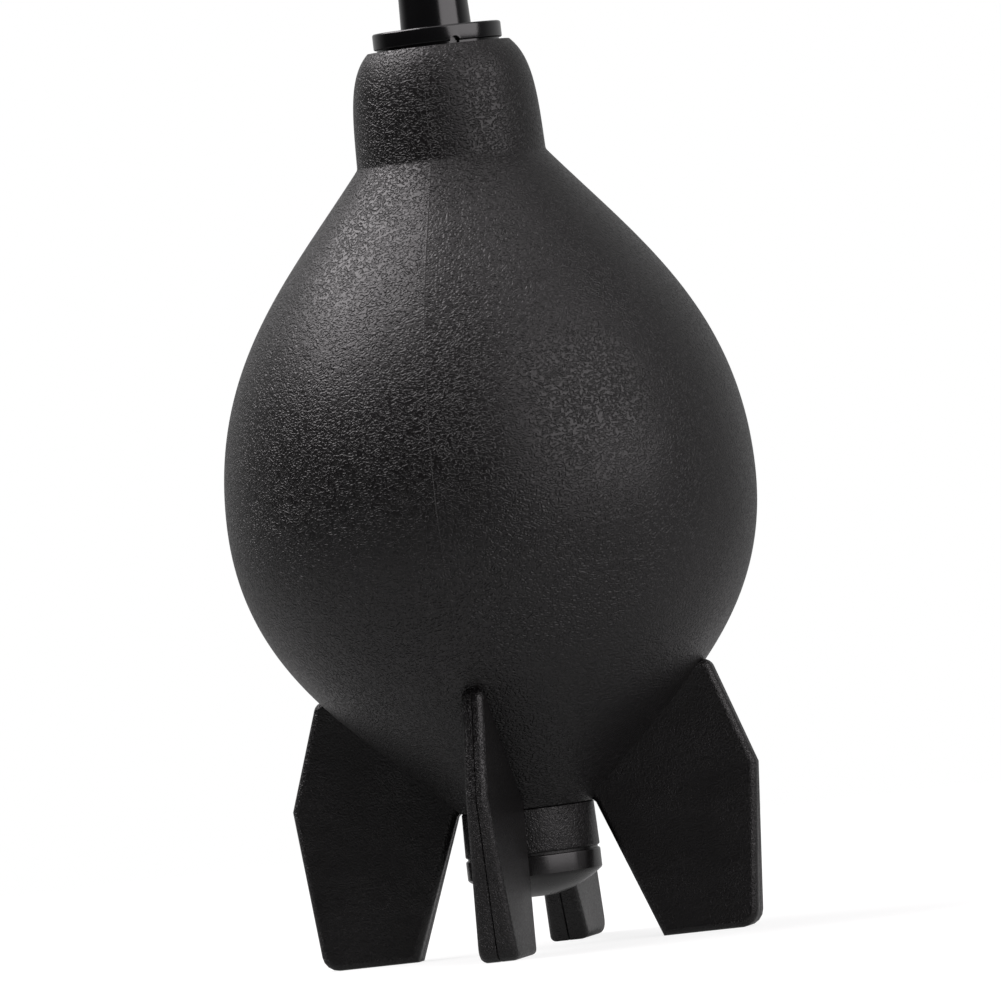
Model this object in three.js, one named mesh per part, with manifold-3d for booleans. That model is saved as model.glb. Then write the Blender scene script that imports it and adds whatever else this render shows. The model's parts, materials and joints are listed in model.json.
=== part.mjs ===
// A hand air blower in the shape of a rocket: a hollow rubber bulb on four fins, a hard
// plastic nozzle pushed into its neck, and a one-way inlet valve pushed into its tail.
// Millimetres, +Z up the nozzle, origin on the bulb's axis where the fins' feet rest.
// Fins point along -Y (front), +X (right), +Y (rear) and -X (left).

import * as THREE from 'three';
import { mergeVertices } from 'three/addons/utils/BufferGeometryUtils.js';
import Module from 'manifold-3d';

const wasm = await Module();
wasm.setup();

/** A point of an outline: its distance from the axis and its height. */
const at = (radius, height) => new THREE.Vector2(radius, height);

// ---------- driving dimensions ----------

const GAP = 0.3; // air left between neighbouring solids
const SMALL_EDGE = 0.3; // chamfer on moulded corners
const WELD = 1e-4;

// bulb
const BOSS_BOTTOM = 12.8;
const BOSS_TOP = 18.8;
const BOSS_RADIUS = 8.9;
const BULB_RADIUS = 35;
const BULB_WIDEST = 60;
const NECK_BOTTOM = 104.5;
const NECK_TOP = 119.5;
const NECK_RADIUS = 12.5;
const NECK_TOP_RADIUS = 9.4;
const CONE_HANDLE = at(19.6, 30.3); // where the tail cone aims
const SHOULDER_HANDLE = at(23.1, 91.5); // where the bulb's shoulder aims at the neck
const BELLY_HANDLE = 21; // how far up and down the belly stays upright
const BARREL_HANDLES = [at(12.3, 112), at(12.2, 116.8)];
const WALL = 3;
const NECK_BORE = 4.75;
const BOSS_BORE = 5.1;
const BOSS_BORE_TOP = 20.3;
const BULB_SIDES = 48;
const ARC_STEPS = 9;

// the two stretches of wall that a hand presses in
const SQUEEZE_TURN = THREE.MathUtils.degToRad(20); // thumb side, from -Y towards +X
const PATCH_HALF_WIDTH = 19;
const PATCH_HALF_HEIGHT = 22;
const PATCH_CENTRE = 62;
const PATCH_SIDES = 28;
const PATCH_NEAR = 8; // the cut starts this far from the axis and ends past the bulb

// fins
const FIN_TOP = 35.5;
const FIN_TOP_RADIUS = 26.6;
const FIN_BURIED_RADIUS = 20; // inside the bulb, so that the cut leaves the fin's root on its skin
const FIN_SHOULDER_RADIUS = 31.4;
const FIN_SHOULDER_HEIGHT = 21.4;
const FIN_TOE_RADIUS = 29.3;
const FIN_TOE_ROUND = 2;
const FIN_HEEL_RADIUS = 16.6;
const FIN_HEEL_ROUND = 0.8;
const FIN_ROOT_RADIUS = 9.6;
const FIN_CREST = 2.8;
const FIN_THIN = 3;
const FIN_THICK = 5.4;
const FIN_ANGLES = { fin_front: -90, fin_right: 0, fin_rear: 90, fin_left: 180 };

// nozzle
const FLANGE_BOTTOM = 119.8;
const FLANGE_TOP = 122;
const FLANGE_RADIUS = 8.5;
const NOTCH_RADIUS = 0.7;
const NOTCH_DEPTH = 1;
const NOTCH_ANGLE = THREE.MathUtils.degToRad(-62);
const TUBE_RADIUS = 4.65;
const TIP_RADIUS = 3;
const TIP_HEIGHT = 172;
const TIP_BORE = 1.3;
const TUBE_BORE = 2.6;
const SPIGOT_BOTTOM = 104.9;
const SPIGOT_RADIUS = 4.1;
const GRIP_RADIUS = 4.45;
const GRIP_HEIGHTS = [108, 113.5];
const GRIP_SLOPE = 0.9;
const GRIP_CREST = 0.4;
const GRIP_BACK = 0.2;
const SPIGOT_BORE = 3.3;
const SPIGOT_SHELF = 112;
const NOZZLE_SIDES = 36;

// outlet valve, in the spigot
const OUTLET_RING_RADIUS = SPIGOT_BORE - GAP;
const OUTLET_SEAT_BOTTOM = SPIGOT_BOTTOM;
const OUTLET_SEAT_TOP = OUTLET_SEAT_BOTTOM + 2;
const OUTLET_SEAT_BORE = 1.3;
const OUTLET_DISC_RADIUS = 2.3;
const OUTLET_DISC_THICKNESS = 0.6;
const OUTLET_LIFT = 1;
const OUTLET_CAGE_HEIGHT = 1.4;
const OUTLET_CAGE_BORE = 2.1;

// tail valve
const CAP_RADIUS = 8.9;
const CAP_TOP = BOSS_BOTTOM - GAP;
const CAP_BAND_BOTTOM = 9.9;
const CAP_BOTTOM = 6.75;
const STEM_RADIUS = 4.8;
const STEM_TOP = 24.5;
const STEM_BARB_RADIUS = 6;
const STEM_BARB_BOTTOM = BOSS_BORE_TOP + 1.1;
const STEM_BORE = 3.7;
const INLET_HOLE = 2.1;
const INLET_SEAT_TOP = 16;
const INLET_DISC_RADIUS = 3.1;
const INLET_DISC_THICKNESS = 0.7;
const INLET_LIFT = 1.2;
const INLET_CAGE_HEIGHT = 1.6;
const INLET_CAGE_BORE = 2.5;
const VALVE_SIDES = 28;
const CAGE_BAR = 0.8;
const CAGE_BAR_OVERLAP = 0.3; // how far a bar runs into its ring
const DOME_STEPS = 7;

// ---------- geometry helpers ----------

/** Turns an outline of radius and height about Z. The outline runs anticlockwise, inside on its left. */
function turned(outline, sides) {
  return new THREE.LatheGeometry(outline, sides).rotateX(Math.PI / 2);
}

/** A ring or disc of square section. */
function ring(inner, outer, bottom, top, sides) {
  const section = [at(inner, bottom), at(outer, bottom), at(outer, top), at(inner, top)];
  if (inner > 0) {
    section.push(section[0].clone());
  }
  return turned(section, sides);
}

/** A closed mesh as a manifold solid, with shared corners welded and empty faces dropped. */
function solidOf(geometry) {
  const bare = geometry.clone();
  bare.deleteAttribute('normal');
  bare.deleteAttribute('uv');
  const welded = mergeVertices(bare, WELD);
  const corners = welded.index.array;
  const kept = [];
  for (let i = 0; i < corners.length; i += 3) {
    const [a, b, c] = corners.slice(i, i + 3);
    if (a !== b && b !== c && c !== a) {
      kept.push(a, b, c);
    }
  }
  return new wasm.Manifold(new wasm.Mesh({
    numProp: 3,
    vertProperties: new Float32Array(welded.attributes.position.array),
    triVerts: new Uint32Array(kept),
  }));
}

function geometryOf(solid) {
  const mesh = solid.getMesh();
  const geometry = new THREE.BufferGeometry();
  geometry.setAttribute('position', new THREE.BufferAttribute(mesh.vertProperties, 3));
  geometry.setIndex(new THREE.BufferAttribute(mesh.triVerts, 1));
  geometry.computeVertexNormals();
  return geometry;
}

/** The points of an outline moved sideways, to its left, by a distance. */
function movedLeft(points, distance) {
  return points.map((point, i) => {
    const before = points[Math.max(i - 1, 0)];
    const after = points[Math.min(i + 1, points.length - 1)];
    const along = after.clone().sub(before).normalize();
    return at(point.x - along.y * distance, point.y + along.x * distance);
  });
}

// ---------- bulb ----------

/** The bulb's outside from the boss up to the neck: a cone that swells to the widest ring and closes again. */
function bulbOutline() {
  const lower = new THREE.CubicBezierCurve(
    at(BOSS_RADIUS, BOSS_TOP),
    CONE_HANDLE,
    at(BULB_RADIUS, BULB_WIDEST - BELLY_HANDLE),
    at(BULB_RADIUS, BULB_WIDEST),
  );
  const upper = new THREE.CubicBezierCurve(
    at(BULB_RADIUS, BULB_WIDEST),
    at(BULB_RADIUS, BULB_WIDEST + BELLY_HANDLE),
    SHOULDER_HANDLE,
    at(NECK_RADIUS, NECK_BOTTOM),
  );
  return [...lower.getPoints(ARC_STEPS), ...upper.getPoints(ARC_STEPS).slice(1)];
}

/** The neck's outside: a barrel that rounds over at the top. */
function neckOutline() {
  const barrel = new THREE.CubicBezierCurve(
    at(NECK_RADIUS, NECK_BOTTOM),
    ...BARREL_HANDLES,
    at(NECK_TOP_RADIUS, NECK_TOP),
  );
  return barrel.getPoints(ARC_STEPS - 2);
}

function bulbSolid() {
  const skin = bulbOutline();
  const inside = movedLeft(skin, WALL);
  const outline = [
    at(BOSS_BORE, BOSS_BOTTOM),
    at(BOSS_RADIUS - SMALL_EDGE, BOSS_BOTTOM),
    at(BOSS_RADIUS, BOSS_BOTTOM + SMALL_EDGE),
    ...skin,
    ...neckOutline().slice(1),
    at(NECK_BORE, NECK_TOP),
    at(NECK_BORE, NECK_BOTTOM),
    ...inside.reverse(),
    at(BOSS_BORE, BOSS_BORE_TOP),
    at(BOSS_BORE, BOSS_BOTTOM),
  ];
  return solidOf(turned(outline, BULB_SIDES));
}

/** An upright oval bar that runs out from the axis on the thumb's side; grown widens it all round. */
function patchBar(grown, turn) {
  const oval = new THREE.Shape();
  oval.absellipse(0, 0, PATCH_HALF_WIDTH + grown, PATCH_HALF_HEIGHT + grown, 0, 2 * Math.PI);
  const outline = new THREE.Shape(oval.getSpacedPoints(PATCH_SIDES).slice(0, -1));
  const bar = new THREE.ExtrudeGeometry(outline, { depth: BULB_RADIUS, bevelEnabled: false });
  bar.translate(0, 0, PATCH_NEAR);
  bar.rotateX(Math.PI / 2);
  bar.rotateZ(turn);
  bar.translate(0, 0, PATCH_CENTRE);
  return solidOf(bar);
}

/** The bulb in three solids: the moulding that keeps its shape, and the two walls that press in. */
function bulbPieces() {
  const whole = bulbSolid();
  const thumb = SQUEEZE_TURN;
  const fingers = SQUEEZE_TURN + Math.PI;
  return {
    bulb_shell: whole.subtract(patchBar(GAP, thumb)).subtract(patchBar(GAP, fingers)),
    thumb_wall: whole.intersect(patchBar(0, thumb)),
    finger_wall: whole.intersect(patchBar(0, fingers)),
  };
}

// ---------- fins ----------

/** What a fin has to stay clear of: the boss and the bulb's cone, a gap proud of their skin. */
function bulbKeepOut() {
  const outline = [
    at(0, BOSS_BOTTOM),
    at(BOSS_RADIUS + GAP, BOSS_BOTTOM),
    ...movedLeft(bulbOutline(), -GAP),
    at(0, NECK_BOTTOM),
  ];
  return solidOf(turned(outline, BULB_SIDES));
}

/** The fin's side view, in radius and height: shoulder, rounded toe, flat foot and slanted heel. */
function finSide() {
  const side = new THREE.Shape();
  side.moveTo(FIN_ROOT_RADIUS, BOSS_TOP);
  side.lineTo(FIN_HEEL_RADIUS - FIN_HEEL_ROUND / 2, FIN_HEEL_ROUND);
  side.quadraticCurveTo(FIN_HEEL_RADIUS, 0, FIN_HEEL_RADIUS + FIN_HEEL_ROUND, 0);
  side.lineTo(FIN_TOE_RADIUS - FIN_TOE_ROUND, 0);
  side.quadraticCurveTo(FIN_TOE_RADIUS, 0, FIN_TOE_RADIUS, FIN_TOE_ROUND);
  side.lineTo(FIN_SHOULDER_RADIUS, FIN_SHOULDER_HEIGHT);
  side.lineTo(FIN_TOP_RADIUS, FIN_TOP);
  side.lineTo(FIN_BURIED_RADIUS, FIN_TOP);
  return new THREE.ExtrudeGeometry(side, { depth: FIN_THICK, bevelEnabled: false, curveSegments: 4 })
    .translate(0, 0, -FIN_THICK / 2)
    .rotateX(Math.PI / 2);
}

/** The fin's end view: thin above the shoulder, thicker down to the foot. */
function finEnd() {
  const end = new THREE.Shape();
  end.moveTo(-FIN_THICK / 2, 0);
  end.lineTo(FIN_THICK / 2, 0);
  end.lineTo(FIN_THIN / 2, FIN_SHOULDER_HEIGHT);
  end.lineTo(FIN_CREST / 2, FIN_TOP);
  end.lineTo(-FIN_CREST / 2, FIN_TOP);
  end.lineTo(-FIN_THIN / 2, FIN_SHOULDER_HEIGHT);
  return new THREE.ExtrudeGeometry(end, { depth: BULB_RADIUS, bevelEnabled: false })
    .rotateX(Math.PI / 2)
    .rotateZ(Math.PI / 2);
}

function finSolid() {
  return solidOf(finSide()).intersect(solidOf(finEnd())).subtract(bulbKeepOut());
}

// ---------- nozzle ----------

/** Tube, flange and spigot in one moulding, open from the valve seat to the tip. */
function nozzleSolid() {
  const grips = GRIP_HEIGHTS.flatMap((height) => [
    at(SPIGOT_RADIUS, height),
    at(GRIP_RADIUS, height + GRIP_SLOPE),
    at(GRIP_RADIUS, height + GRIP_SLOPE + GRIP_CREST),
    at(SPIGOT_RADIUS, height + GRIP_SLOPE + GRIP_CREST + GRIP_BACK),
  ]);
  const outline = [
    at(SPIGOT_BORE, SPIGOT_BOTTOM),
    at(SPIGOT_RADIUS - SMALL_EDGE, SPIGOT_BOTTOM),
    at(SPIGOT_RADIUS, SPIGOT_BOTTOM + SMALL_EDGE),
    ...grips,
    at(SPIGOT_RADIUS, FLANGE_BOTTOM),
    at(FLANGE_RADIUS - SMALL_EDGE, FLANGE_BOTTOM),
    at(FLANGE_RADIUS, FLANGE_BOTTOM + SMALL_EDGE),
    at(FLANGE_RADIUS, FLANGE_TOP - SMALL_EDGE),
    at(FLANGE_RADIUS - SMALL_EDGE, FLANGE_TOP),
    at(TUBE_RADIUS, FLANGE_TOP),
    at(TIP_RADIUS, TIP_HEIGHT - SMALL_EDGE),
    at(TIP_RADIUS - SMALL_EDGE, TIP_HEIGHT),
    at(TIP_BORE, TIP_HEIGHT),
    at(TUBE_BORE, FLANGE_TOP),
    at(TUBE_BORE, SPIGOT_SHELF),
    at(SPIGOT_BORE, SPIGOT_SHELF),
    at(SPIGOT_BORE, SPIGOT_BOTTOM),
  ];
  const notch = new THREE.CylinderGeometry(NOTCH_RADIUS, NOTCH_RADIUS, 2 * NOTCH_DEPTH, 16)
    .rotateZ(Math.PI / 2)
    .translate(FLANGE_RADIUS, 0, FLANGE_BOTTOM)
    .rotateZ(NOTCH_ANGLE);
  return solidOf(turned(outline, NOZZLE_SIDES)).subtract(solidOf(notch));
}

/** A ring with a bar across it, which a valve disc lifts against. */
function cageSolid(bore, radius, bottom, height) {
  const bar = new THREE.BoxGeometry(2 * (bore + CAGE_BAR_OVERLAP), CAGE_BAR, height);
  bar.translate(0, 0, bottom + height / 2);
  const across = bar.clone().rotateZ(Math.PI / 2);
  return solidOf(ring(bore, radius, bottom, bottom + height, VALVE_SIDES))
    .add(solidOf(bar))
    .add(solidOf(across));
}

function outletValve() {
  const disc = OUTLET_SEAT_TOP + GAP;
  const cage = disc + OUTLET_DISC_THICKNESS + OUTLET_LIFT + GAP;
  return {
    outlet_valve_seat: solidOf(
      ring(OUTLET_SEAT_BORE, OUTLET_RING_RADIUS, OUTLET_SEAT_BOTTOM, OUTLET_SEAT_TOP, VALVE_SIDES),
    ),
    outlet_valve_disc: solidOf(
      ring(0, OUTLET_DISC_RADIUS, disc, disc + OUTLET_DISC_THICKNESS, VALVE_SIDES),
    ),
    outlet_valve_cage: cageSolid(OUTLET_CAGE_BORE, OUTLET_RING_RADIUS, cage, OUTLET_CAGE_HEIGHT),
  };
}

// ---------- tail valve ----------

/** Points on the dome under the band, from the air hole out to the band. */
function domeOutline() {
  const rise = CAP_BAND_BOTTOM - CAP_BOTTOM;
  const ball = (CAP_RADIUS ** 2 + rise ** 2) / (2 * rise);
  const points = [];
  for (let i = 0; i <= DOME_STEPS; i += 1) {
    const radius = INLET_HOLE + ((CAP_RADIUS - INLET_HOLE) * i) / DOME_STEPS;
    points.push(at(radius, CAP_BOTTOM + ball - Math.sqrt(ball ** 2 - radius ** 2)));
  }
  return points;
}

/** Dome, band and stem in one moulding, with the air hole up its middle and a seat for the disc. */
function tailValveBody() {
  const outline = [
    ...domeOutline(),
    at(CAP_RADIUS, CAP_TOP - SMALL_EDGE),
    at(CAP_RADIUS - SMALL_EDGE, CAP_TOP),
    at(STEM_RADIUS, CAP_TOP),
    at(STEM_RADIUS, STEM_BARB_BOTTOM),
    at(STEM_BARB_RADIUS, STEM_BARB_BOTTOM),
    at(STEM_RADIUS, STEM_TOP),
    at(STEM_BORE, STEM_TOP),
    at(STEM_BORE, INLET_SEAT_TOP),
    at(INLET_HOLE, INLET_SEAT_TOP),
  ];
  outline.push(outline[0].clone());
  return solidOf(turned(outline, NOZZLE_SIDES));
}

function inletValve() {
  const disc = INLET_SEAT_TOP + GAP;
  const cage = disc + INLET_DISC_THICKNESS + INLET_LIFT + GAP;
  return {
    inlet_valve_disc: solidOf(
      ring(0, INLET_DISC_RADIUS, disc, disc + INLET_DISC_THICKNESS, VALVE_SIDES),
    ),
    inlet_valve_cage: cageSolid(INLET_CAGE_BORE, STEM_BORE - GAP, cage, INLET_CAGE_HEIGHT),
  };
}

// ---------- assembly ----------

const FINISHES = {
  grained_rubber: { color: 0x2c2b2c, roughness: 0.55, metalness: 0 },
  matt_rubber: { color: 0x262526, roughness: 0.62, metalness: 0 },
  gloss_plastic: { color: 0x141415, roughness: 0.15, metalness: 0 },
  clear_silicone: { color: 0xb9bdbf, roughness: 0.45, metalness: 0 },
  white_acetal: { color: 0xd9d8d2, roughness: 0.4, metalness: 0 },
};

const blower = new THREE.Group();

function place(name, solid, finish, turn = 0) {
  const mesh = new THREE.Mesh(geometryOf(solid), new THREE.MeshStandardMaterial(FINISHES[finish]));
  mesh.name = name;
  mesh.rotation.z = turn;
  blower.add(mesh);
}

function placeAll(pieces, finishes) {
  for (const [name, solid] of Object.entries(pieces)) {
    place(name, solid, finishes[name] ?? finishes.all);
  }
}

placeAll(bulbPieces(), { all: 'grained_rubber' });
const fin = finSolid();
for (const [name, angle] of Object.entries(FIN_ANGLES)) {
  place(name, fin, 'matt_rubber', THREE.MathUtils.degToRad(angle));
}
place('nozzle', nozzleSolid(), 'gloss_plastic');
placeAll(outletValve(), { outlet_valve_disc: 'clear_silicone', all: 'white_acetal' });
place('tail_valve_body', tailValveBody(), 'gloss_plastic');
placeAll(inletValve(), { inlet_valve_disc: 'clear_silicone', all: 'white_acetal' });

export default blower;
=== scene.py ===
import json
import math

import bmesh
import bpy
from mathutils import Matrix, Vector
from mathutils.geometry import interpolate_bezier


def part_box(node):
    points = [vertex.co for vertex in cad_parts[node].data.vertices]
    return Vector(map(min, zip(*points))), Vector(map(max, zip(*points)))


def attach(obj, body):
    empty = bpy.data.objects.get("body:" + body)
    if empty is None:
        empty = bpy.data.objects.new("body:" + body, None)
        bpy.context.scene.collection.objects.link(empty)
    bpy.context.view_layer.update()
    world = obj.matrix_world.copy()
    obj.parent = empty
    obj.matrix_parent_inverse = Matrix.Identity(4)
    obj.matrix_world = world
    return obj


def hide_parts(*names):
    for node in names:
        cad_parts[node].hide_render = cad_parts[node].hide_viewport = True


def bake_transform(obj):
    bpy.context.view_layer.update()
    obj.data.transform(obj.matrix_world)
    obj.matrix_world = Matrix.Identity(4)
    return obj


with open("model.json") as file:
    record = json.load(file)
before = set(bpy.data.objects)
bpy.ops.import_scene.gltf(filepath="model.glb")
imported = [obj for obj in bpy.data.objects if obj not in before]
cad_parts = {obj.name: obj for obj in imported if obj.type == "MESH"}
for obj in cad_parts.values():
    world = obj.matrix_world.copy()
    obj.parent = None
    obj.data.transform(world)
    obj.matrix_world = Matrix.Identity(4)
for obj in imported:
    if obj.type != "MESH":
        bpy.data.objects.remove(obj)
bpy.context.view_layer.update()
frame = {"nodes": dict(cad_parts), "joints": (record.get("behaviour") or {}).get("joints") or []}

MM = 0.001

# ---------- places and sizes, in millimetres from the frame ----------


def box_mm(node):
    """The lowest and the highest corner of a CAD solid's box, in millimetres."""
    low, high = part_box(node)
    return low / MM, high / MM


SHELL_LOW, SHELL_HIGH = box_mm("bulb_shell")
NOZZLE_LOW, NOZZLE_HIGH = box_mm("nozzle")
FIN_LOW, FIN_HIGH = box_mm("fin_right")

# bulb
BULB_RADIUS = SHELL_HIGH.x
BULB_WIDEST = 60
BOSS_HEIGHT = 6
BOSS_BOTTOM = SHELL_LOW.z
BOSS_TOP = BOSS_BOTTOM + BOSS_HEIGHT
BOSS_RADIUS = box_mm("tail_valve_body")[1].x
BOSS_BORE = 5.1
NECK_HEIGHT = 15
NECK_TOP = SHELL_HIGH.z
NECK_BOTTOM = NECK_TOP - NECK_HEIGHT
NECK_RADIUS = 12.5
NECK_RIM = 9.4
NECK_BORE = 4.75
WALL = 2.6
CONE_HANDLE = (19.6, 30.3)
SHOULDER_HANDLE = (23.1, 91.5)
BELLY_HANDLE = 21

# the squeeze: the way the thumb goes in, the distances from the axis along that way between which the skin
# is smoothed where the fold of a dent would lie, and the band at each end over which that smoothing fades
# out
THUMB_AXIS = next(Vector(j["axis"]) for j in frame["joints"] if j["name"] == "thumb_press")
THUMB_SIDE = -THUMB_AXIS.normalized()
FOLD_BAND = (19.5, 34.5)
FOLD_FADE = 3.0
FOLD_SMOOTHING = 0.5
FOLD_PASSES = 24

# in metres: vertices this close are one, and a cut or a mirror takes a vertex this close as lying on it
MERGE_WITHIN = 1e-7
CUT_WITHIN = 1e-6

# edges to a rounded corner of an outline
ROUNDING_STEPS = 4


# ---------- small mesh tools ----------


def curve_points(start, handle_a, handle_b, end, count):
    """Points along one Bezier stretch of an outline, as (radius, height) in millimetres."""
    flat = [Vector((r, z)) for r, z in (start, handle_a, handle_b, end)]
    return [(p.x, p.y) for p in interpolate_bezier(*flat, count)]


def outline_wire(corners, closed):
    """A wire in the XZ plane. A corner is (radius, height) or (radius, height, rounding) in millimetres."""
    bm = bmesh.new()
    verts = [bm.verts.new((c[0] * MM, 0, c[1] * MM)) for c in corners]
    for a, b in zip(verts, verts[1:]):
        bm.edges.new((a, b))
    if closed:
        bm.edges.new((verts[-1], verts[0]))
    for vert, corner in zip(verts, corners):
        if len(corner) == 3:
            bmesh.ops.bevel(
                bm, geom=[vert], offset=corner[2] * MM, offset_type="OFFSET",
                segments=ROUNDING_STEPS, profile=0.5, affect="VERTICES", material=-1,
            )
    return bm


def finished(name, bm, finish, body=None, sharp_angle=40):
    """Turns a bmesh into a shaded piece with its finish, riding on its body."""
    for face in bm.faces:
        face.smooth = True
    for edge in bm.edges:
        wide = edge.is_manifold and edge.calc_face_angle(0) > math.radians(sharp_angle)
        edge.smooth = not (wide or edge.is_boundary)
    mesh = bpy.data.meshes.new(name)
    bm.to_mesh(mesh)
    bm.free()
    rest = mesh.attributes.new("moulded_place", "FLOAT_VECTOR", "POINT")
    rest.data.foreach_set("vector", [c for v in mesh.vertices for c in v.co])
    piece = bpy.data.objects.new(name, mesh)
    bpy.context.scene.collection.objects.link(piece)
    mesh.materials.append(finish)
    if body:
        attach(piece, body)
    return piece


def turned(corners, closed=True, steps=96):
    """Turns an outline once round Z. An outline that isn't closed starts and ends on the axis."""
    bm = outline_wire(corners, closed)
    bmesh.ops.spin(
        bm, geom=bm.verts[:] + bm.edges[:], axis=(0, 0, 1), cent=(0, 0, 0),
        angle=2 * math.pi, steps=steps, use_merge=True,
    )
    bmesh.ops.remove_doubles(bm, verts=bm.verts, dist=MERGE_WITHIN)
    bmesh.ops.recalc_face_normals(bm, faces=bm.faces)
    return bm


# ---------- finishes ----------


def linear(hex_colour):
    """An sRGB hex colour as linear RGBA."""
    parts = [int(hex_colour[i : i + 2], 16) / 255 for i in (1, 3, 5)]
    return (*[c / 12.92 if c <= 0.04045 else ((c + 0.055) / 1.055) ** 2.4 for c in parts], 1)


def add(tree, kind, inputs=None, output=0, **settings):
    """Adds a node, sets it up, links or sets its inputs by name or number, and gives back an output.
    A Mix node's sockets share their names: its colours go into 6 and 7, and their mixture is output 2."""
    node = tree.nodes.new(kind)
    for key, value in settings.items():
        setattr(node, key, value)
    for key, value in (inputs or {}).items():
        if isinstance(value, bpy.types.NodeSocket):
            tree.links.new(value, node.inputs[key])
        else:
            node.inputs[key].default_value = value
    return node.outputs[output] if node.outputs else None


def new_finish(name):
    """An empty material and its node tree."""
    finish = bpy.data.materials.new(name)
    finish.use_nodes = True
    finish.node_tree.nodes.clear()
    return finish, finish.node_tree


def millimetres(tree, follows_skin=True):
    """Pattern coordinates in millimetres: the place where each point was moulded, or else the place in
    the object. A noise has a scale of one over the size of its blotches in millimetres."""
    if follows_skin:
        source = add(tree, "ShaderNodeAttribute", output="Vector", attribute_name="moulded_place")
    else:
        source = add(tree, "ShaderNodeTexCoord", output="Object")
    return add(tree, "ShaderNodeVectorMath", {0: source, "Scale": 1 / MM}, operation="SCALE")


def sum_of(tree, *terms):
    """Adds up (value, weight) pairs."""
    total = 0.0
    for value, weight in terms:
        total = add(tree, "ShaderNodeMath", {0: value, 1: weight, 2: total}, operation="MULTIPLY_ADD")
    return total


def furrows(tree, place, pitch, width):
    """Wormy furrows like those of an etched mould: 1 on the ground between them, 0 along their bottoms.
    They run where a cloudy noise crosses its middle value, and a second noise breaks them up. `pitch` is
    in millimetres, and `width` is how far off the middle value the ground starts."""
    field = add(tree, "ShaderNodeTexNoise", {"Vector": place, "Scale": 1 / (pitch * 0.8), "Detail": 0.5})
    signed = add(tree, "ShaderNodeMath", {0: field, 1: 0.5}, operation="SUBTRACT")
    away = add(tree, "ShaderNodeMath", {0: signed}, operation="ABSOLUTE")
    gaps = add(tree, "ShaderNodeTexNoise", {"Vector": place, "Scale": 1 / (pitch * 0.7), "Detail": 0.0})
    filled = add(
        tree, "ShaderNodeMapRange", {"Value": gaps, "From Min": 0.56, "From Max": 0.66, "To Max": 0.2},
        interpolation_type="SMOOTHSTEP",
    )
    broken = add(tree, "ShaderNodeMath", {0: away, 1: filled}, operation="ADD")
    return add(
        tree, "ShaderNodeMapRange", {"Value": broken, "From Max": width},
        interpolation_type="SMOOTHSTEP",
    )


def either_side_of_the_parting_line(tree, place):
    """The same pattern coordinates, but shifted in one half of the mould, so the grain doesn't meet;
    and how far across from the parting line each point is."""
    across = add(tree, "ShaderNodeSeparateXYZ", {0: place}, output="X")
    half = add(tree, "ShaderNodeMath", {0: across, 1: 0.0}, operation="GREATER_THAN")
    shift = add(tree, "ShaderNodeVectorMath", {0: half, 1: (3.1, 1.7, 5.3)}, operation="MULTIPLY")
    return add(tree, "ShaderNodeVectorMath", {0: place, 1: shift}, operation="ADD"), across


def grained_rubber():
    """Black moulded rubber with a leather grain. The mould was etched, so wormy furrows, about half a
    millimetre apart and mostly lying across the bulb, break every highlight into dark squiggles and
    every shadow into faint glints. A hairline ridge runs up the front and the back, where the two mould
    halves met at a very slight crest."""
    finish, tree = new_finish("grained_black_rubber")
    place = millimetres(tree)
    stepped, across = either_side_of_the_parting_line(tree, place)
    lying = add(tree, "ShaderNodeMapping", {0: stepped, "Scale": (1, 1, 1.4)})
    ground = furrows(tree, lying, pitch=0.66, width=0.2)
    swell = add(tree, "ShaderNodeTexNoise", {"Vector": place, "Scale": 1 / 4.0, "Detail": 2.0})
    patches = add(tree, "ShaderNodeTexNoise", {"Vector": place, "Scale": 1 / 22.0, "Detail": 3.0})
    grit = add(tree, "ShaderNodeTexNoise", {"Vector": stepped, "Scale": 1 / 0.3, "Detail": 1.0})
    depth = add(
        tree, "ShaderNodeMapRange", {"Value": patches, "From Min": 0.38, "From Max": 0.62, "To Min": 0.5},
        interpolation_type="SMOOTHSTEP",
    )
    grain = add(tree, "ShaderNodeMath", {0: ground, 1: depth}, operation="MULTIPLY")
    offset = add(tree, "ShaderNodeMath", {0: across}, operation="ABSOLUTE")
    ridge = add(
        tree, "ShaderNodeMapRange", {"Value": offset, "From Min": 0.14, "From Max": 0.04},
        interpolation_type="SMOOTHSTEP",
    )
    crown = add(tree, "ShaderNodeMapRange", {"Value": offset, "From Max": 4.0, "To Min": 1.0, "To Max": 0.0})
    height = sum_of(tree, (grain, 0.125), (grit, 0.02), (swell, 0.03), (ridge, 0.05), (crown, 0.09))
    # the base colour is painted darker along the furrows' bottoms, as painted shade in the furrows, and
    # varies at random with the patches as the rubber's own tone
    furrow_shade_and_tone = sum_of(tree, (ground, 0.7), (patches, 0.3))
    colour = add(
        tree, "ShaderNodeMix", {0: furrow_shade_and_tone, 6: linear("#090808"), 7: linear("#121011")},
        data_type="RGBA", output=2,
    )
    surface = add(tree, "ShaderNodeBsdfPrincipled", {
        "Base Color": colour,
        "Roughness": sum_of(tree, (patches, 0.1), (ground, -0.1), (0.42, 1.0)),
        "IOR": 1.45,
        "Normal": add(tree, "ShaderNodeBump", {"Height": height, "Distance": MM, "Strength": 1.0}),
    })
    add(tree, "ShaderNodeOutputMaterial", {"Surface": surface})
    return finish


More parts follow.
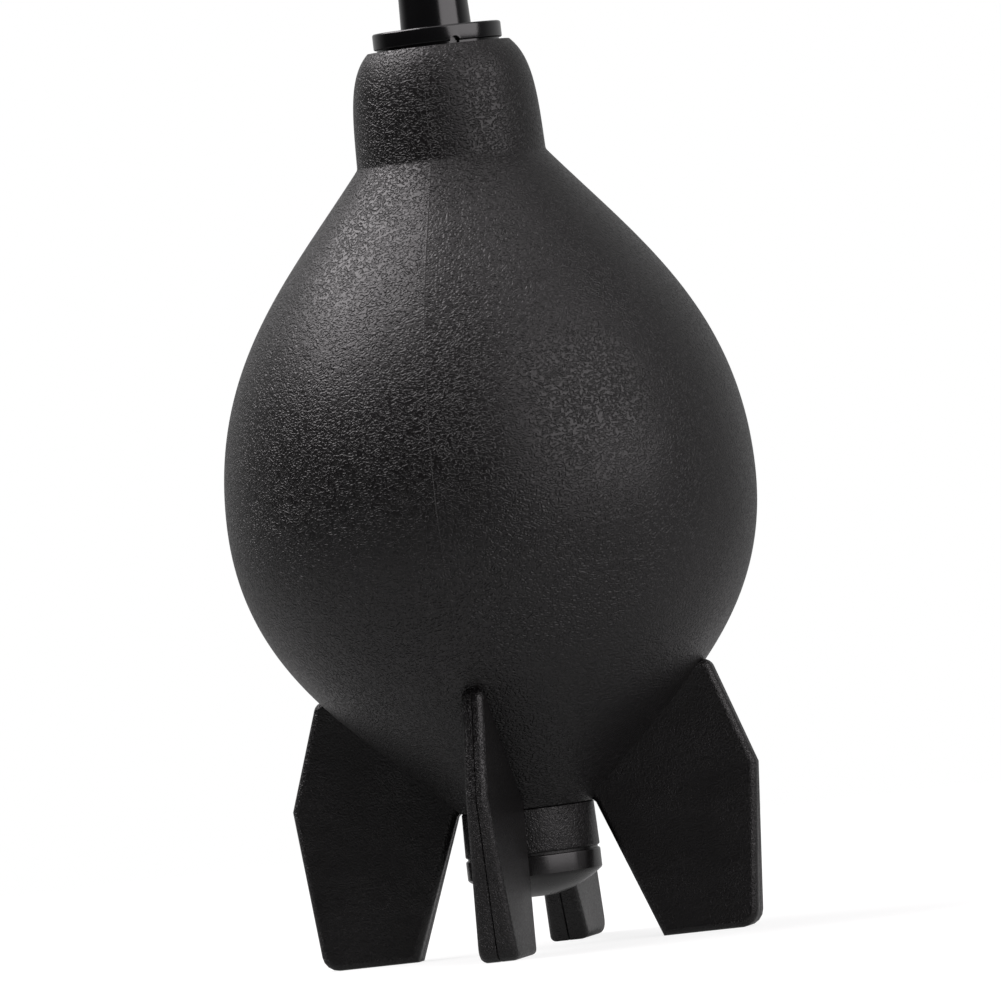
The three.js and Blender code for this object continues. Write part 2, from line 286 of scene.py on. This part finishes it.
def matt_rubber():
    """The same black rubber on the fins and the boss, where the mould was etched more finely: short
    furrows a third of a millimetre apart and a fine grit. They nearly fade out on the fins' flanks,
    which so turn a smooth, dark, faintly satin face to the eye, with duller edges around it."""
    finish, tree = new_finish("fine_textured_black_rubber")
    place = millimetres(tree)
    ground = furrows(tree, place, pitch=0.42, width=0.2)
    grit = add(tree, "ShaderNodeTexNoise", {"Vector": place, "Scale": 1 / 0.25, "Detail": 2.0})
    patches = add(tree, "ShaderNodeTexNoise", {"Vector": place, "Scale": 1 / 9.0, "Detail": 3.0})
    uneven = add(
        tree, "ShaderNodeMapRange", {"Value": patches, "From Min": 0.35, "From Max": 0.65, "To Min": 0.35},
        interpolation_type="SMOOTHSTEP",
    )
    flank = add(tree, "ShaderNodeAttribute", output="Fac", attribute_name="flank")
    polish = add(tree, "ShaderNodeMapRange", {"Value": flank, "To Min": 1.0, "To Max": 0.3})
    depth = add(tree, "ShaderNodeMath", {0: uneven, 1: polish}, operation="MULTIPLY")
    grain = add(tree, "ShaderNodeMath", {0: ground, 1: depth}, operation="MULTIPLY")
    height = sum_of(tree, (grain, 0.08), (grit, 0.02), (patches, 0.12))
    # the base colour is painted darker along the furrows' bottoms, as painted shade in the furrows, and
    # varies at random with the patches as the rubber's own tone
    furrow_shade_and_tone = sum_of(tree, (patches, 0.6), (ground, 0.4))
    colour = add(
        tree, "ShaderNodeMix", {0: furrow_shade_and_tone, 6: linear("#070606"), 7: linear("#0f0d0e")},
        data_type="RGBA", output=2,
    )
    surface = add(tree, "ShaderNodeBsdfPrincipled", {
        "Base Color": colour,
        "Roughness": sum_of(tree, (patches, 0.1), (ground, -0.08), (0.37, 1.0)),
        "IOR": 1.45,
        "Normal": add(tree, "ShaderNodeBump", {"Height": height, "Distance": MM, "Strength": 1.0}),
    })
    add(tree, "ShaderNodeOutputMaterial", {"Surface": surface})
    return finish


def gloss_plastic():
    """Black ABS from a polished mould: near-mirror gloss that long soft lights draw down in one stripe,
    with the faint waviness of a thin moulding and a few handling rubs that dull it unevenly."""
    finish, tree = new_finish("polished_black_abs")
    place = millimetres(tree)
    lengthwise = add(tree, "ShaderNodeMapping", {0: place, "Scale": (1, 1, 0.12)})
    wave = add(tree, "ShaderNodeTexNoise", {"Vector": place, "Scale": 1 / 3.5, "Detail": 1.0})
    rubs = add(tree, "ShaderNodeTexNoise", {"Vector": lengthwise, "Scale": 1 / 0.5, "Detail": 3.0})
    smears = add(tree, "ShaderNodeTexNoise", {"Vector": place, "Scale": 1 / 5.0, "Detail": 3.0})
    dull = add(
        tree, "ShaderNodeMapRange", {"Value": smears, "From Min": 0.4, "From Max": 0.8},
        interpolation_type="SMOOTHSTEP",
    )
    height = sum_of(tree, (wave, 0.02), (rubs, 0.0015))
    colour = add(
        tree, "ShaderNodeMix", {0: smears, 6: linear("#0b0b0c"), 7: linear("#111112")},
        data_type="RGBA", output=2,
    )
    surface = add(tree, "ShaderNodeBsdfPrincipled", {
        "Base Color": colour,
        "Roughness": sum_of(tree, (dull, 0.1), (rubs, 0.06), (0.13, 1.0)),
        "IOR": 1.54,
        "Normal": add(tree, "ShaderNodeBump", {"Height": height, "Distance": MM, "Strength": 1.0}),
    })
    add(tree, "ShaderNodeOutputMaterial", {"Surface": surface})
    return finish


def satin_plastic():
    """Black ABS from a mould that was only stoned, not polished: it takes a broad, soft-edged highlight,
    with faint drawn lines up and down."""
    finish, tree = new_finish("satin_black_abs")
    place = millimetres(tree)
    drawn = add(tree, "ShaderNodeMapping", {0: place, "Scale": (1, 1, 0.1)})
    lines = add(tree, "ShaderNodeTexNoise", {"Vector": drawn, "Scale": 1 / 0.25, "Detail": 2.0})
    smears = add(tree, "ShaderNodeTexNoise", {"Vector": place, "Scale": 1 / 3.0, "Detail": 3.0})
    height = sum_of(tree, (lines, 0.004), (smears, 0.02))
    colour = add(
        tree, "ShaderNodeMix", {0: smears, 6: linear("#0b0a0b"), 7: linear("#121111")},
        data_type="RGBA", output=2,
    )
    surface = add(tree, "ShaderNodeBsdfPrincipled", {
        "Base Color": colour,
        "Roughness": sum_of(tree, (smears, 0.12), (lines, 0.06), (0.17, 1.0)),
        "IOR": 1.5,
        "Normal": add(tree, "ShaderNodeBump", {"Height": height, "Distance": MM, "Strength": 1.0}),
    })
    add(tree, "ShaderNodeOutputMaterial", {"Surface": surface})
    return finish


def clear_silicone():
    """Milky silicone, pressed smooth: light soaks in, so its thin edges glow a little."""
    finish, tree = new_finish("milky_silicone")
    place = millimetres(tree)
    cloud = add(tree, "ShaderNodeTexNoise", {"Vector": place, "Scale": 1 / 1.2, "Detail": 2.0})
    colour = add(
        tree, "ShaderNodeMix", {0: cloud, 6: linear("#b4b8ba"), 7: linear("#cdd1d2")},
        data_type="RGBA", output=2,
    )
    surface = add(tree, "ShaderNodeBsdfPrincipled", {
        "Base Color": colour,
        "Roughness": sum_of(tree, (cloud, 0.15), (0.34, 1.0)),
        "IOR": 1.41,
        "Subsurface Weight": 0.35,
        "Subsurface Scale": 0.001,
    })
    add(tree, "ShaderNodeOutputMaterial", {"Surface": surface})
    return finish


def white_acetal():
    """Natural acetal: off-white, waxy, with the fine lines of a cheap mould."""
    finish, tree = new_finish("natural_acetal")
    place = millimetres(tree, follows_skin=False)
    cloud = add(tree, "ShaderNodeTexNoise", {"Vector": place, "Scale": 1 / 1.5, "Detail": 2.0})
    lines = add(tree, "ShaderNodeTexNoise", {"Vector": place, "Scale": 1 / 0.12, "Detail": 1.0})
    colour = add(
        tree, "ShaderNodeMix", {0: cloud, 6: linear("#d3d1c8"), 7: linear("#e3e1da")},
        data_type="RGBA", output=2,
    )
    surface = add(tree, "ShaderNodeBsdfPrincipled", {
        "Base Color": colour,
        "Roughness": sum_of(tree, (cloud, 0.12), (0.36, 1.0)),
        "IOR": 1.48,
        "Subsurface Weight": 0.1,
        "Subsurface Scale": 0.001,
        "Normal": add(tree, "ShaderNodeBump", {"Height": lines, "Distance": 0.01 * MM, "Strength": 1.0}),
    })
    add(tree, "ShaderNodeOutputMaterial", {"Surface": surface})
    return finish


GRAINED_RUBBER = grained_rubber()
MATT_RUBBER = matt_rubber()
GLOSS_PLASTIC = gloss_plastic()
SATIN_PLASTIC = satin_plastic()
CLEAR_SILICONE = clear_silicone()
WHITE_ACETAL = white_acetal()


# ---------- bulb ----------


def bulb_outline(count):
    """The bulb's skin from the boss up to the neck."""
    lower = curve_points(
        (BOSS_RADIUS, BOSS_TOP), CONE_HANDLE, (BULB_RADIUS, BULB_WIDEST - BELLY_HANDLE),
        (BULB_RADIUS, BULB_WIDEST), count=count,
    )
    upper = curve_points(
        (BULB_RADIUS, BULB_WIDEST), (BULB_RADIUS, BULB_WIDEST + BELLY_HANDLE), SHOULDER_HANDLE,
        (NECK_RADIUS, NECK_BOTTOM), count=count,
    )
    return lower + upper[1:]


def bulb_half(name, side, wall_node):
    """Half of the bulb's skin, on the thumb's or the fingers' side, grown inwards into a wall; the CAD shell
    and that side's wall are hidden. Thick rubber doesn't crease, so a band round its crown, where the rim of
    a dent would lie, is smoothed."""
    bm = outline_wire(bulb_outline(count=56), closed=False)
    start = math.atan2(side.y, side.x) - math.pi / 2
    bmesh.ops.rotate(bm, verts=bm.verts, cent=(0, 0, 0), matrix=Matrix.Rotation(start, 3, "Z"))
    bmesh.ops.spin(
        bm, geom=bm.verts[:] + bm.edges[:], axis=(0, 0, 1), cent=(0, 0, 0), angle=math.pi, steps=120,
    )
    bmesh.ops.recalc_face_normals(bm, faces=bm.faces)
    outer = max(bm.faces, key=lambda f: f.calc_center_median().length)
    if outer.normal.dot(side) < 0:
        bmesh.ops.reverse_faces(bm, faces=bm.faces)
    half = finished(name, bm, GRAINED_RUBBER)
    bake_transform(half)
    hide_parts(wall_node, "bulb_shell")
    fold = half.vertex_groups.new(name="fold")
    for vert in half.data.vertices:
        reach = vert.co.dot(side) / MM
        inside = min(reach - FOLD_BAND[0], FOLD_BAND[1] - reach) / FOLD_FADE
        fold.add([vert.index], max(0.0, min(1.0, inside)), "REPLACE")
    rounded = half.modifiers.new("rounded_fold", "SMOOTH")
    rounded.factor = FOLD_SMOOTHING
    rounded.iterations = FOLD_PASSES
    rounded.vertex_group = fold.name
    wall = half.modifiers.new("wall", "SOLIDIFY")
    wall.thickness = WALL * MM
    wall.offset = -1


def neck():
    """The barrel neck: rounded over under the flange, with a tight fillet where it meets the bulb."""
    fillet_end = (NECK_RADIUS - 0.02, NECK_BOTTOM + 0.25)
    fillet = curve_points(
        (NECK_RADIUS + 0.35, NECK_BOTTOM - 0.41), (NECK_RADIUS + 0.1, NECK_BOTTOM - 0.12),
        (NECK_RADIUS, NECK_BOTTOM), fillet_end, count=5,
    )
    barrel = curve_points(
        fillet_end, (NECK_RADIUS - 0.2, NECK_BOTTOM + 7.5), (NECK_RADIUS - 0.3, NECK_TOP - 2.7),
        (NECK_RIM, NECK_TOP), count=30,
    )
    inside_the_wall = NECK_BOTTOM - 1.2
    corners = [
        (NECK_BORE, inside_the_wall),
        (NECK_RADIUS + 0.1, inside_the_wall),
        *fillet,
        *barrel[1:],
        (NECK_BORE, NECK_TOP, 0.5),
    ]
    piece = finished("neck_barrel", turned(corners, steps=128), GRAINED_RUBBER, "bulb")
    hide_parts("bulb_shell")


def boss():
    """The plain collar under the bulb that grips the tail valve."""
    corners = [
        (BOSS_BORE, BOSS_BOTTOM),
        (BOSS_RADIUS, BOSS_BOTTOM, 0.3),
        (BOSS_RADIUS - 0.15, BOSS_TOP - 0.2),
        (BOSS_RADIUS - 0.45, BOSS_TOP + 0.05),
        (BOSS_RADIUS - 0.9, BOSS_TOP + 0.6),
        (BOSS_BORE, BOSS_TOP + 1.5),
    ]
    piece = finished("tail_boss", turned(corners), MATT_RUBBER, "bulb")
    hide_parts("bulb_shell")


bulb_half("bulb_thumb_side", THUMB_SIDE, "thumb_wall")
bulb_half("bulb_finger_side", -THUMB_SIDE, "finger_wall")
neck()
boss()


# ---------- fins ----------

FIN_TOP = FIN_HIGH.z
FIN_THICK = FIN_HIGH.y - FIN_LOW.y
FIN_THIN = 3.0
FIN_BLANK = 2.8  # the thickness to which the side view is grown before its flanks are parted
FIN_CREST = (23.6, 26.6)
FIN_SHOULDER = (FIN_HIGH.x, 21.4)
FIN_TOE = 29.3
FIN_HEEL = 16.6
PARTING_DEPTH = 0.16
PARTING_HALF_WIDTH = 0.12
ROOT_SINK = 1.1  # how far the root lies inside the skin
ROOT_START = 2  # how far below the crest it starts
FIN_ROUNDING = 1.0
FIN_ROUND_STEPS = 6
FIN_TURNS = {"fin_front": -90, "fin_right": 0, "fin_rear": 90, "fin_left": 180}


def fin_half_thickness(height):
    """Thin from the crest to the shoulder, then thicker down to the foot."""
    share = max(0.0, 1 - height / FIN_SHOULDER[1])
    return (FIN_THIN + (FIN_THICK - FIN_THIN) * share) / 2


def fin_root():
    """Where the fin is bonded to the bulb, inside its wall, from below the crest down to the boss."""
    skin = [p for p in bulb_outline(count=24) if p[1] < FIN_TOP - ROOT_START]
    return [(r - ROOT_SINK, z + ROOT_SINK) for r, z in reversed(skin)]


def stepped_out(bm, face, inset, rise):
    """Grows a flat face one step: its copy is `inset` smaller all round and stands `rise` further out."""
    bmesh.ops.inset_individual(
        bm, faces=[face], thickness=max(inset, MERGE_WITHIN), depth=rise, use_even_offset=True,
    )


def fin(name, turn):
    """One fin: a flat side view grown outwards from its mid-plane, where the mould halves left a shallow
    groove round the edge, with rounded edges and flanks that part towards the foot."""
    corners = [
        *fin_root(),
        (BOSS_RADIUS + 0.5, BOSS_TOP - 0.4),
        (FIN_HEEL, 0),
        (FIN_TOE, 0, 2.0),
        FIN_SHOULDER,
        (FIN_CREST[1], FIN_TOP, 1.0),
        (FIN_CREST[0], FIN_TOP),
    ]
    bm = outline_wire(corners, closed=True)
    side = bmesh.ops.contextual_create(bm, geom=bm.edges[:])["faces"][0]
    if side.normal.y > 0:
        bmesh.ops.reverse_faces(bm, faces=[side])
    groove_floor = list(side.verts)
    tangents = {}
    for loop in side.loops:
        before = (loop.vert.co - loop.link_loop_prev.vert.co).normalized()
        after = (loop.link_loop_next.vert.co - loop.vert.co).normalized()
        tangents[loop.vert] = before + after
    inward = {v: side.normal.cross(t).normalized() for v, t in tangents.items()}
    stepped_out(bm, side, 0, PARTING_HALF_WIDTH * MM)
    stepped_out(bm, side, 0, (FIN_BLANK / 2 - PARTING_HALF_WIDTH - FIN_ROUNDING) * MM)
    for k in range(FIN_ROUND_STEPS):
        low, high = (math.radians(90 * i / FIN_ROUND_STEPS) for i in (k, k + 1))
        narrower = math.cos(low) - math.cos(high)
        further = math.sin(high) - math.sin(low)
        stepped_out(bm, side, narrower * FIN_ROUNDING * MM, further * FIN_ROUNDING * MM)
    for vert in groove_floor:
        vert.co += inward[vert] * PARTING_DEPTH * MM
    bmesh.ops.bisect_plane(
        bm, geom=bm.verts[:] + bm.edges[:] + bm.faces[:], dist=CUT_WITHIN,
        plane_co=(0, 0, FIN_SHOULDER[1] * MM), plane_no=(0, 0, 1),
    )
    past_the_groove = -1.01 * PARTING_HALF_WIDTH * MM
    for vert in bm.verts:
        if vert.co.y < past_the_groove:
            vert.co.y -= (fin_half_thickness(vert.co.z / MM) - FIN_BLANK / 2) * MM
    bmesh.ops.mirror(
        bm, geom=bm.verts[:] + bm.edges[:] + bm.faces[:], axis="Y", merge_dist=CUT_WITHIN,
    )
    bmesh.ops.remove_doubles(bm, verts=bm.verts, dist=MERGE_WITHIN)
    bmesh.ops.recalc_face_normals(bm, faces=bm.faces)
    flank = bm.verts.layers.float.new("flank")
    for vert in bm.verts:
        vert[flank] = float(abs(vert.co.y) > fin_half_thickness(vert.co.z / MM) * MM - CUT_WITHIN)
    about_z = Matrix.Rotation(math.radians(turn), 3, "Z")
    bmesh.ops.rotate(bm, verts=bm.verts, cent=(0, 0, 0), matrix=about_z)
    piece = finished(name + "_blade", bm, MATT_RUBBER, "bulb", sharp_angle=50)
    flat = piece.modifiers.new("flat_flanks", "WEIGHTED_NORMAL")
    flat.keep_sharp = True
    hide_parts(name)


for fin_name, fin_turn in FIN_TURNS.items():
    fin(fin_name, fin_turn)


# ---------- nozzle ----------

GAP = 0.3  # the dark line that shows under the flange, and that over the tail valve's cap
HAIR = 0.02  # keeps two faces that would lie in one plane a hair apart
FLANGE_RADIUS = NOZZLE_HIGH.x
FLANGE_BOTTOM = NECK_TOP + GAP
FLANGE_TOP = FLANGE_BOTTOM + 2.2
FLANGE_STEP = 8.1  # a low step under the flange that sits on the neck
SPIGOT_BOTTOM = NOZZLE_LOW.z
SPIGOT_RADIUS = 4.1
GRIP_RADIUS = 4.45
GRIP_HEIGHTS = (108, 113.5)
TUBE_TOP = NOZZLE_HIGH.z
TUBE_RADII = (4.65, 3.0)
BORE_RADII = (2.6, 1.3)
CHAMBER_RADIUS = 3.3
CHAMBER_TOP = 112
NOTCH_TURN = math.radians(-62)
NOTCH_RADIUS = 0.68
NOTCH_LENGTH = 2.4


def cut_by(piece, cutter):
    """Cuts one solid out of another and keeps only the result."""
    cut = piece.modifiers.new("cut", "BOOLEAN")
    cut.operation = "DIFFERENCE"
    cut.object = cutter
    cut.solver = "EXACT"
    bpy.context.view_layer.update()
    evaluated = piece.evaluated_get(bpy.context.evaluated_depsgraph_get())
    mesh = bpy.data.meshes.new_from_object(evaluated)
    piece.modifiers.remove(cut)
    bpy.data.objects.remove(cutter)
    return mesh


def nozzle():
    """Tapered tube, flange and spigot in one moulding, with a thumbnail notch in the flange's lower rim
    and two barbed rings round the spigot that grip the neck."""
    grips = []
    for height in GRIP_HEIGHTS:
        grips += [
            (SPIGOT_RADIUS, height),
            (GRIP_RADIUS, height + 0.9, 0.12),
            (GRIP_RADIUS, height + 1.3, 0.12),
            (SPIGOT_RADIUS, height + 1.5),
        ]
    corners = [
        (CHAMBER_RADIUS, SPIGOT_BOTTOM),
        (SPIGOT_RADIUS, SPIGOT_BOTTOM, 0.3),
        *grips,
        (SPIGOT_RADIUS, NECK_TOP + HAIR),
        (FLANGE_STEP, NECK_TOP + HAIR),
        (FLANGE_STEP, FLANGE_BOTTOM),
        (FLANGE_RADIUS, FLANGE_BOTTOM, 0.22),
        (FLANGE_RADIUS, FLANGE_TOP, 0.3),
        (TUBE_RADII[0], FLANGE_TOP, 0.12),
        (TUBE_RADII[1], TUBE_TOP, 0.35),
        (BORE_RADII[1], TUBE_TOP, 0.25),
        (BORE_RADII[0], FLANGE_TOP),
        (BORE_RADII[0], CHAMBER_TOP),
        (CHAMBER_RADIUS, CHAMBER_TOP),
    ]
    piece = finished("nozzle_tube", turned(corners), GLOSS_PLASTIC)
    notch = bmesh.new()
    bmesh.ops.create_cone(
        notch, cap_ends=True, segments=32, depth=NOTCH_LENGTH * MM,
        radius1=NOTCH_RADIUS * MM, radius2=NOTCH_RADIUS * MM,
    )
    laid_down = Matrix.Rotation(math.pi / 2, 3, "Y")
    about_z = Matrix.Rotation(NOTCH_TURN, 3, "Z")
    bmesh.ops.rotate(notch, verts=notch.verts, cent=(0, 0, 0), matrix=laid_down)
    bmesh.ops.translate(notch, verts=notch.verts, vec=(FLANGE_RADIUS * MM, 0, FLANGE_BOTTOM * MM))
    bmesh.ops.rotate(notch, verts=notch.verts, cent=(0, 0, 0), matrix=about_z)
    cutter_mesh = bpy.data.meshes.new("notch_cutter")
    notch.to_mesh(cutter_mesh)
    notch.free()
    cutter = bpy.data.objects.new("notch_cutter", cutter_mesh)
    bpy.context.scene.collection.objects.link(cutter)
    piece.data = cut_by(piece, cutter)
    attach(piece, "nozzle")
    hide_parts("nozzle")


nozzle()


# ---------- tail valve ----------

CAP_TOP = BOSS_BOTTOM - GAP
CAP_STEP = 8.6  # a low step that seals against the boss, just inside the gap line
BAND_BOTTOM = 9.9
DOME_BOTTOM = 6.75
DOME_RADIUS = BOSS_RADIUS - 0.12
AIR_HOLE = 2.1
STEM_RADIUS = 4.8
STEM_TOP = 24.5
BARB_RADIUS = 6.0
BARB_BOTTOM = 21.4
POCKET_RADIUS = 3.7
POCKET_FLOOR = 16.0


def dome_points(count):
    """The shallow ball-shaped dome, from the air hole's rim out to the band."""
    rise = BAND_BOTTOM - DOME_BOTTOM
    ball = (BOSS_RADIUS**2 + rise**2) / (2 * rise)
    radii = [AIR_HOLE + (DOME_RADIUS - AIR_HOLE) * i / count for i in range(count + 1)]
    return [(r, DOME_BOTTOM + ball - math.sqrt(ball**2 - r**2)) for r in radii]


def tail_valve():
    """Dome, band and barbed stem in one moulding, with the air hole up its middle and a pocket for the
    valve at its top."""
    dome = dome_points(count=14)
    corners = [
        (*dome[0], 0.3),
        *dome[1:],
        (BOSS_RADIUS, BAND_BOTTOM + 0.1),
        (BOSS_RADIUS, CAP_TOP, 0.25),
        (CAP_STEP, CAP_TOP),
        (CAP_STEP, BOSS_BOTTOM + HAIR),
        (STEM_RADIUS, BOSS_BOTTOM + HAIR),
        (STEM_RADIUS, BARB_BOTTOM),
        (BARB_RADIUS, BARB_BOTTOM, 0.15),
        (STEM_RADIUS, STEM_TOP, 0.2),
        (POCKET_RADIUS, STEM_TOP),
        (POCKET_RADIUS, POCKET_FLOOR),
        (AIR_HOLE, POCKET_FLOOR, 0.15),
    ]
    piece = finished(
        "tail_valve_cap", turned(corners), SATIN_PLASTIC, "bulb", sharp_angle=30,
    )
    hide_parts("tail_valve_body")


tail_valve()


# ---------- valve pieces inside ----------


def plain_ring(name, node, inner, body, finish, rounding):
    """A moulded ring that fills its CAD solid's box, or a disc where its inner radius is 0."""
    low, high = box_mm(node)
    outer = high.x
    if inner:
        corners = [
            (inner, low.z, rounding), (outer, low.z, rounding),
            (outer, high.z, rounding), (inner, high.z, rounding),
        ]
    else:
        corners = [(0, low.z), (outer, low.z, rounding), (outer, high.z, rounding), (0, high.z)]
    bm = turned(corners, closed=bool(inner), steps=64)
    piece = finished(name, bm, finish, body)
    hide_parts(node)


SEAT_BORE = 1.3
plain_ring("outlet_seat_ring", "outlet_valve_seat", SEAT_BORE, "nozzle", WHITE_ACETAL, 0.2)
plain_ring("outlet_flap", "outlet_valve_disc", 0, "outlet_disc", CLEAR_SILICONE, 0.15)
plain_ring("inlet_flap", "inlet_valve_disc", 0, "inlet_disc", CLEAR_SILICONE, 0.15)
for cage in ("outlet_valve_cage", "inlet_valve_cage"):
    frame["nodes"][cage].data.materials.clear()
    frame["nodes"][cage].data.materials.append(WHITE_ACETAL)


# ---------- floor, light and camera, in metres ----------

FLOOR_RADIUS = 0.45
FLOOR_FADE = (0.1, 0.35)  # between these distances its paint gives way to its own light
LIGHT_COLOUR = (1.0, 0.955, 0.975)  # white with a trace of rose
LIGHT_AIM = Vector((0, 0, 0.07))
CAMERA_AZIMUTH = 12
CAMERA_ELEVATION = 0.5
CAMERA_DISTANCE = 1.8
CAMERA_ROLL = 6.7
CAMERA_AIM = Vector((0.0012, 0, 0.0592))
VIEW_WIDTH = 0.1317  # the breadth of the view at the blower's axis


def direction(azimuth, elevation):
    """Unit vector towards an azimuth (0 is -Y, 90 is +X) and a height above the horizon, in degrees."""
    a, e = math.radians(azimuth), math.radians(elevation)
    return Vector((math.sin(a) * math.cos(e), -math.cos(a) * math.cos(e), math.sin(e)))


def floor():
    """A white floor lit from below: it shines to the eye, and still takes soft shadows near the blower."""
    bm = bmesh.new()
    bmesh.ops.create_circle(bm, cap_ends=True, segments=96, radius=FLOOR_RADIUS)
    mesh = bpy.data.meshes.new("studio_floor")
    bm.to_mesh(mesh)
    bm.free()
    plane = bpy.data.objects.new("studio_floor", mesh)
    bpy.context.scene.collection.objects.link(plane)
    paint, tree = new_finish("pale_floor_paint")
    place = add(tree, "ShaderNodeTexCoord", output="Object")
    away = add(tree, "ShaderNodeVectorMath", {0: place}, output="Value", operation="LENGTH")
    glow = add(
        tree, "ShaderNodeMapRange", {"Value": away, "From Min": FLOOR_FADE[0], "From Max": FLOOR_FADE[1]},
        interpolation_type="SMOOTHSTEP",
    )
    paint_coat = add(tree, "ShaderNodeBsdfDiffuse", {"Color": (0.93, 0.93, 0.93, 1)})
    eye = add(tree, "ShaderNodeLightPath", output="Is Camera Ray")
    strength = add(
        tree, "ShaderNodeMapRange", {"Value": eye, "To Min": 0.35, "To Max": 1.1},
        interpolation_type="SMOOTHSTEP",
    )
    backlight = add(tree, "ShaderNodeEmission", {"Color": (1, 1, 1, 1), "Strength": strength})
    near = add(tree, "ShaderNodeMixShader", {0: 0.75, 1: paint_coat, 2: backlight})
    mixed = add(tree, "ShaderNodeMixShader", {0: glow, 1: near, 2: backlight})
    add(tree, "ShaderNodeOutputMaterial", {"Surface": mixed})
    mesh.materials.append(paint)


def softbox(name, azimuth, elevation, distance, width, height, brightness):
    """A rectangular soft light aimed at the blower; its brightness is that of its face, next to white 1."""
    light = bpy.data.lights.new(name, "AREA")
    light.shape = "RECTANGLE"
    light.size = width
    light.size_y = height
    light.energy = brightness * width * height * math.pi
    light.color = LIGHT_COLOUR
    lamp = bpy.data.objects.new(name, light)
    bpy.context.scene.collection.objects.link(lamp)
    lamp.location = LIGHT_AIM + direction(azimuth, elevation) * distance
    lamp.rotation_mode = "QUATERNION"
    lamp.rotation_quaternion = direction(azimuth, elevation).to_track_quat("Z", "Y")
    lamp.visible_camera = False


def surroundings():
    """White to the eye; as light, bright behind the blower and dim in front of it."""
    world = bpy.data.worlds.new("white_studio")
    bpy.context.scene.world = world
    world.use_nodes = True
    tree = world.node_tree
    tree.nodes.clear()
    way = add(tree, "ShaderNodeTexCoord", output="Generated")
    depth = add(tree, "ShaderNodeSeparateXYZ", {0: way}, output="Y")
    level = add(
        tree, "ShaderNodeMapRange", {"Value": depth, "From Max": 0.9, "To Min": 0.02, "To Max": 0.45},
        interpolation_type="SMOOTHSTEP",
    )
    eye = add(tree, "ShaderNodeLightPath", output="Is Camera Ray")
    strength = add(tree, "ShaderNodeMath", {0: level, 1: eye}, operation="MAXIMUM")
    glow = add(tree, "ShaderNodeBackground", {"Color": (1, 1, 1, 1), "Strength": strength})
    add(tree, "ShaderNodeOutputWorld", {"Surface": glow})


def camera():
    """A long lens, nearly level with the blower, rolled so that the blower leans."""
    data = bpy.data.cameras.new("studio_camera")
    data.sensor_width = 36
    data.lens = data.sensor_width * CAMERA_DISTANCE / VIEW_WIDTH
    data.clip_start = 0.05
    data.clip_end = 50
    eye = bpy.data.objects.new("studio_camera", data)
    bpy.context.scene.collection.objects.link(eye)
    towards = direction(CAMERA_AZIMUTH, CAMERA_ELEVATION)
    eye.location = CAMERA_AIM + towards * CAMERA_DISTANCE
    roll = Matrix.Rotation(-math.radians(CAMERA_ROLL), 3, "Z")
    turn = towards.to_track_quat("Z", "Y").to_matrix() @ roll
    eye.rotation_mode = "QUATERNION"
    eye.rotation_quaternion = turn.to_quaternion()
    bpy.context.scene.camera = eye


floor()
surroundings()
softbox("right_window", azimuth=62, elevation=22, distance=0.7, width=0.78, height=0.62, brightness=2.9)
softbox("upper_left_box", azimuth=-96, elevation=56, distance=0.75, width=0.7, height=0.52, brightness=6.6)
softbox("ceiling_box", azimuth=70, elevation=78, distance=0.75, width=0.6, height=0.6, brightness=1.3)
camera()
bpy.context.scene.view_settings.view_transform = "Standard"
